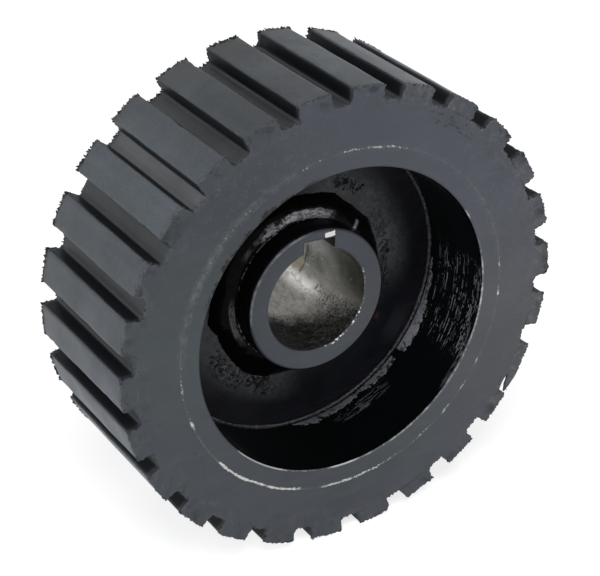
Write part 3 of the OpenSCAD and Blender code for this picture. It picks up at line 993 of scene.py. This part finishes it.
def build_rim_bead(finish):
    """The bead in the rear corner of web and rim, its two legs sunk a little into the steel."""
    across = 11
    corner = RIM_INNER_R + 0.06
    foot = WEB_REAR_Y - 0.06
    points = []
    for i in range(BEAD_STEPS):
        angle = i * 360 / BEAD_STEPS
        ripple_turn = angle * RIM_BEAD_RIPPLES + 60 * wave(i / 25, 1, 1, 6)
        ripple = 0.22 * abs(math.sin(math.radians(ripple_turn)))
        swell = RIM_BEAD_SWELL + 0.3 * wave(i / 30, 4, 1, 3) + ripple
        reach = RIM_BEAD_LEG + 0.35 * wave(i / 16, 2, 2, 4)
        rise = RIM_BEAD_LEG + 0.3 * wave(i / 20, 5, 2, 4)
        for j in range(across):
            share = j / (across - 1)
            out = (swell * 0.7 + 0.16 * wave(i / 3.2, j / 1.6, 6, 5)) * math.sin(math.pi * share)
            points.append(at(corner - reach * (1 - share) - out, angle, foot + rise * share + out))
        points.append(at(corner, angle, foot))
    faces = grid_faces(BEAD_STEPS, across + 1)
    make_piece("rim_bead", points, faces, finish, "rear_rim_weld")


# ---- thick paint in the front corner
# Height of the crust on the wall, round the axis, and where it starts above the web
CRUST_TOP = [
    (94, 0.0), (97, 0.8), (104, 2.4), (110, 3.0), (113, 4.2), (120, 5.0), (129, 6.0), (133, 5.0),
    (133.8, 0.0), (136.8, 0.0), (137.2, 3.2), (143, 4.1), (150, 3.9), (154, 3.0), (155, 1.8), (158, 3.0),
    (162, 2.5), (166, 3.4), (171, 3.1), (176, 3.8), (180, 3.0), (183, 1.2), (185, 0.0),
]
CRUST_FOOT = 1.7
CORNER_BURIED = 0.06
PAINTED_HEIGHT = 9.2


def build_corner(finish):
    """Thick paint in the front corner of web and rim, with a ragged crust on the wall at the lower right."""
    around, arc_points, wall_points = 1440, 7, 28
    outer = RIM_INNER_R + CORNER_BURIED
    behind = WEB_FRONT_Y + CORNER_BURIED
    points, crust = [], []
    for i in range(around):
        angle = i * 360 / around
        reach = 0.9 * (1 + 0.25 * wave(i / 30, 1, 1, 21))
        top = read_round(CRUST_TOP, angle)
        for j in range(arc_points):
            turn = math.pi / 2 * j / (arc_points - 1)
            lump = 0.10 * wave(i / 5, j / 3, 2, 23)
            r = RIM_INNER_R - reach - 0.03 + (reach - lump) * math.sin(turn)
            points.append(at(r, angle, WEB_FRONT_Y - reach - 0.03 + (reach - lump) * math.cos(turn)))
            crust.append(0.0)
        for j in range(1, wall_points + 1):
            share = j / wall_points
            y = WEB_FRONT_Y - reach - (PAINTED_HEIGHT - reach) * share
            above = WEB_FRONT_Y - CRUST_FOOT - y
            ragged = 1.5 * wave(i / 3.1, j / 2.1, 3, 24) + 1.1 * wave(i / 9, 1, 3, 26)
            inside = min(above, top - above + ragged) / 0.25
            held = max(0.0, min(1.0, inside)) if top > 0.1 and j < wall_points else 0.0
            thick = held * (0.24 + 0.14 * wave(i / 3, j / 2, 4, 25))
            sunk = 0.07 * (1 - held) * min(1.0, share * 6)
            points.append(at(RIM_INNER_R - 0.02 + sunk - thick, angle, y))
            crust.append(held)
        points += [
            at(outer, angle, WEB_FRONT_Y - PAINTED_HEIGHT),
            at(outer, angle, behind),
            at(RIM_INNER_R - reach, angle, behind),
        ]
        crust += [0.0] * 3
    faces = grid_faces(around, arc_points + wall_points + 3, flip=True)
    set_attribute(make_piece("corner_paint", points, faces, finish), "crust", crust)


# ---- small torn and spilt bits
# Rings of a dome and of a bent cone, each as a share of the length and a reach
BLOB_RINGS = ((-0.35, 1.0), (0.05, 1.0), (0.65, 0.72))
SPIKE_RINGS = ((-0.3, 1.0), (0.35, 0.75), (0.75, 0.45))
BLOB_SIDES = 9
SPIKE_SIDES = 5


def add_knob(points, faces, foot, way, length, rings, sides, width, bend=(0.0, 0.0)):
    """A small closed knob with its foot sunk, from three rings of points and a tip.

    Each ring is a share of the length and a reach. The width is a function of a point's number and share.
    """
    way = Vector(way).normalized()
    side = way.orthogonal().normalized()
    other = way.cross(side)
    lean = (side * bend[0] + other * bend[1]) * length * 0.5
    start = len(points)
    for share, reach in rings:
        middle = foot + way * length * share + lean * share ** 2
        for i in range(sides):
            turn = 2 * math.pi * i / sides
            spoke = side * math.cos(turn) + other * math.sin(turn)
            points.append(tuple(middle + spoke * reach * width(i, share)))
    points.append(tuple(foot + way * length + lean))
    points.append(tuple(foot + way * length * rings[0][0]))
    last_ring, tip, base = start + 2 * sides, start + 3 * sides, start + 3 * sides + 1
    for i in range(sides):
        after = (i + 1) % sides
        for low in (start, start + sides):
            faces.append((low + i, low + after, low + after + sides, low + i + sides))
        faces.append((last_ring + i, last_ring + after, tip))
        faces.append((start + after, start + i, base))


def add_blob(points, faces, centre, size, height, seed):
    """A small uneven dome on a surface that looks to the front."""
    def width(i, share):
        return size * (1 + 0.35 * wave(i / 1.5, seed, 0.3, seed))
    add_knob(points, faces, centre, (0, -1, 0), height, BLOB_RINGS, BLOB_SIDES, width)


def add_spike(points, faces, foot, way, thickness, length, seed):
    """A torn shred: a bent cone."""
    def width(i, share):
        return thickness * (1 + 0.5 * wave(i, seed, share, 43))
    bend = (wave(seed, 1, 2, 41), wave(seed, 3, 4, 42))
    add_knob(points, faces, foot, way, length, SPIKE_RINGS, SPIKE_SIDES, width, bend)


def build_shreds(name, finish, side, count, reach, seed):
    """Moulding flash torn along one end of the ribs: thick at the rear, sparse at the front."""
    chance = random.Random(seed)
    points, faces = [], []
    half_rib = PITCH / 2 - math.degrees(GROOVE_HALF_MOUTH / TIP_R)
    for k in range(GROOVES):
        middle = (k + 0.5) * PITCH
        for n in range(count):
            place = chance.random()
            angle = middle + half_rib * chance.uniform(-1, 1)
            radius = TIP_R - abs(chance.gauss(0, 0.3))
            # three in ten hang down the walls of the ribs, and some from the floors of the grooves
            if place < 0.30:
                angle = middle + half_rib * chance.choice((-1, 1)) * chance.uniform(0.97, 1.02)
                radius = TIP_R - chance.uniform(0.0, 6.0)
            elif place < 0.45:
                angle = middle + PITCH / 2 + chance.uniform(-1, 1) * (PITCH / 2 - half_rib)
                radius = FLOOR_R + 0.1
            y = side * (HALF_WIDTH - chance.uniform(0.1, 0.9))
            lift = chance.uniform(0.0, 0.8) if side > 0 else chance.uniform(0.5, 1.2)
            along = side * chance.uniform(0.4, 1.2) * (1.0 if side > 0 else 0.3)
            way = Vector(at(lift, angle, along))
            way += Vector((chance.uniform(-0.6, 0.6), 0, chance.uniform(-0.6, 0.6)))
            length = chance.uniform(0.3, reach)
            foot = Vector(at(radius - 0.2, angle, y))
            thickness = min(chance.uniform(0.2, 0.62), length * 0.8)
            add_spike(points, faces, foot, way, thickness, length, n + k * 31)
    make_piece(name, points, faces, finish)


# The torn corner's flap and the lip under it: pairs of an outer and an inner point, as (angle, radius)
FLAP = [
    ((121.0, 97.9), (121.0, 93.4)), ((122.0, 97.9), (122.2, 93.5)), ((123.0, 97.8), (123.2, 94.0)),
    ((124.1, 97.4), (124.2, 94.5)), ((125.0, 97.3), (125.1, 94.7)), ((125.9, 96.9), (125.8, 95.4)),
    ((126.6, 96.7), (126.4, 96.0)), ((126.96, 96.55), (126.94, 96.45)),
]
LIP = [
    ((angle, radius), (angle, 91.0)) for angle, radius in
    ((121.0, 93.5), (122.4, 93.4), (123.6, 92.9), (124.8, 92.8), (126.2, 93.2), (127.4, 93.8), (128.2, 93.6))
]


def add_ribbon(points, faces, pairs, front, back, seed):
    """A slab between an outer and an inner line of points, from a front to a back."""
    start, rows = len(points), 5
    for n, (outer, inner) in enumerate(pairs):
        for y, lean in ((front, 0.0), (back, 0.25)):
            for j in range(rows):
                share = j / (rows - 1)
                angle = outer[0] + (inner[0] - outer[0]) * share
                radius = outer[1] + (inner[1] - outer[1]) * share - lean * (0.5 - share)
                rough = 0.06 * wave(n, j, y, seed)
                points.append(at(radius + rough, angle, y + rough))
    columns = 2 * rows
    order = list(range(rows)) + list(range(2 * rows - 1, rows - 1, -1))
    for n in range(len(pairs) - 1):
        for j in range(columns):
            a, b = (start + n * columns + order[m] for m in (j, (j + 1) % columns))
            faces.append((a, b, b + columns, a + columns))
    last = start + (len(pairs) - 1) * columns
    faces.append(tuple(start + o for o in reversed(order)))
    faces.append(tuple(last + o for o in order))


def build_flap(finish):
    """The torn corner of one rib, which hooks over the front end of the groove beside it."""
    points, faces = [], []
    add_ribbon(points, faces, FLAP, FRONT_Y + 0.02, FRONT_Y + 1.0, 51)
    add_ribbon(points, faces, LIP, FRONT_Y + 0.04, FRONT_Y + 1.8, 52)
    add_spike(points, faces, Vector(at(97.0, 125.0, FRONT_Y + 0.8)), at(1, 135.0, -0.1), 0.5, 1.6, 5)
    for angle, length in ((122.6, 0.7), (124.0, 0.9), (126.2, 1.0)):
        foot = Vector(at(97.2, angle, FRONT_Y + 0.5))
        add_spike(points, faces, foot, at(1, angle + 25, -0.1), 0.35, length, int(angle))
    make_piece("torn_flap", points, faces, finish)


# Patches of curdled paint as angle, half its spread, radius, half its spread, and number of lumps
CURDLES = [
    (33, 9, 45.5, 2.6, 70), (95, 15, 42.3, 1.8, 90), (222, 22, 44.5, 2.8, 150), (345, 330, 50.0, 9.0, 60),
]


def build_curdles(finish):
    """Curdled paint and small weld spatter on the web round the hub's weld."""
    chance = random.Random(11)
    points, faces = [], []
    for centre, half, radius, spread, count in CURDLES:
        for n in range(count):
            angle = centre + chance.uniform(-half, half)
            r = radius + chance.uniform(-spread, spread)
            size = chance.uniform(0.18, 0.75) * (0.6 if spread > 5 else 1.0)
            height = size * chance.uniform(0.3, 0.7)
            add_blob(points, faces, Vector(at(r, angle, WEB_FRONT_Y)), size, height, n + centre)
    make_piece("curdled_paint", points, faces, finish)


def build_crumbs(finish):
    """Flakes of pale cement along the joint of steel and rubber, where the paint has broken away."""
    chance = random.Random(13)
    points, faces = [], []
    tries = 900
    for n in range(tries):
        angle = chance.uniform(0, 360)
        if chance.random() > read_round(JOINT_LINE, angle) ** 2 * 0.8:
            continue
        r = RIM_R + chance.uniform(-0.2, 0.55)
        size = chance.uniform(0.08, 0.26)
        add_blob(points, faces, Vector(at(r, angle, FRONT_Y)), size, size * 0.4, n)
    make_piece("cement_crumbs", points, faces, finish)


# ---- camera, floor and light
def place_camera():
    data = bpy.data.cameras.new("camera")
    data.lens = 114.235
    data.sensor_width = 36
    position = Vector((-0.33793, -0.58026, 0.37206))
    right = Vector((0.85621, -0.51588, -0.02766))
    up = Vector((0.27113, 0.40314, 0.87405))
    forward = Vector((0.43976, 0.75587, -0.48505))
    turn = Matrix((right, up, -forward)).transposed().to_4x4()
    camera = add_object("camera", data)
    camera.matrix_world = Matrix.Translation(position) @ turn
    bpy.context.scene.camera = camera


def make_world():
    world = bpy.data.worlds.new("studio")
    bpy.context.scene.world = world
    world.use_nodes = True
    nodes = Nodes(world.node_tree)
    back = world.node_tree.nodes["Background"]
    nodes.put(back.inputs["Color"], (1.0, 1.0, 1.0))
    nodes.put(back.inputs["Strength"], nodes.white_for_camera(0.20))


def floor_finish():
    """Pale matt floor. It glows more where the lamps no longer reach, to meet the white world unseen."""
    f = Finish("pale_floor")
    away = f.add("VectorMath", {0: f.place}, "Value", operation="LENGTH")
    limits = {"Value": away, "From Min": 0.7, "From Max": 2.2, "To Min": 0.72, "To Max": 0.87}
    strength = f.white_for_camera(0.0) * f.add("MapRange", limits)
    return f.done((0.7, 0.7, 0.7), 0.9, 0.0, **{"Emission Color": (1, 1, 1), "Emission Strength": strength})


def make_floor():
    size, height = 4.0, CAD_BOX[0][2]
    mesh = bpy.data.meshes.new("floor")
    corners = [(-size, -size, height), (size, -size, height), (size, size, height), (-size, size, height)]
    mesh.from_pydata(corners, [], [(0, 1, 2, 3)])
    mesh.materials.append(floor_finish())
    add_object("floor", mesh)


def add_lamp(name, direction, distance, size, power, colour=(1.0, 1.0, 1.0)):
    data = bpy.data.lights.new(name, "AREA")
    data.shape = "DISK"
    data.size = size
    data.energy = power
    data.color = colour
    way = Vector(direction).normalized()
    turn = way.to_track_quat("Z", "Y").to_matrix().to_4x4()
    add_object(name, data).matrix_world = Matrix.Translation(way * distance) @ turn


place_camera()
make_world()
make_floor()
add_lamp("key", (-0.25, -0.6, 1.0), distance=1.6, size=0.9, power=11.0)
add_lamp("left", (-1.0, -0.4, 0.12), distance=1.6, size=0.8, power=17.0)
add_lamp("front", (0.35, -0.92, 0.2), distance=1.5, size=0.8, power=6.0, colour=(0.97, 0.97, 1.0))

for name, finish in (("rim_tube", rim_finish()), ("web_disc", web_finish()), ("hub", hub_finish())):
    materials = frame["nodes"][name].data.materials
    materials.clear()
    materials.append(finish)

bead = bead_finish()
rubber = rubber_finish()
rear_shred = torn_finish("rear_shred_finish", (0.006, 0.007, 0.008), (0.034, 0.031, 0.027))
front_shred = torn_finish("front_shred_finish", (0.022, 0.024, 0.027), (0.066, 0.070, 0.077))
crumb = torn_finish(
    "crumb_finish", (0.30, 0.29, 0.27), (0.60, 0.59, 0.56), scale=700, low=0.35, rough=0.7, level=0.5
)
build_lagging(rubber)
build_bond(bond_finish())
build_bead("front_hub_bead", "front_hub_weld", WEB_FRONT_Y, -1, FRONT_TOE, 1, front_bead_finish())
build_bead("rear_hub_bead", "rear_hub_weld", WEB_REAR_Y, 1, REAR_TOE, 2, bead)
build_rim_bead(bead)
build_corner(corner_finish())
build_shreds("rear_shreds", rear_shred, side=1, count=95, reach=1.35, seed=7)
build_shreds("front_shreds", front_shred, side=-1, count=34, reach=0.8, seed=8)
build_flap(rubber)
build_curdles(bead)
build_crumbs(crumb)

bpy.context.scene.view_settings.view_transform = "Standard"
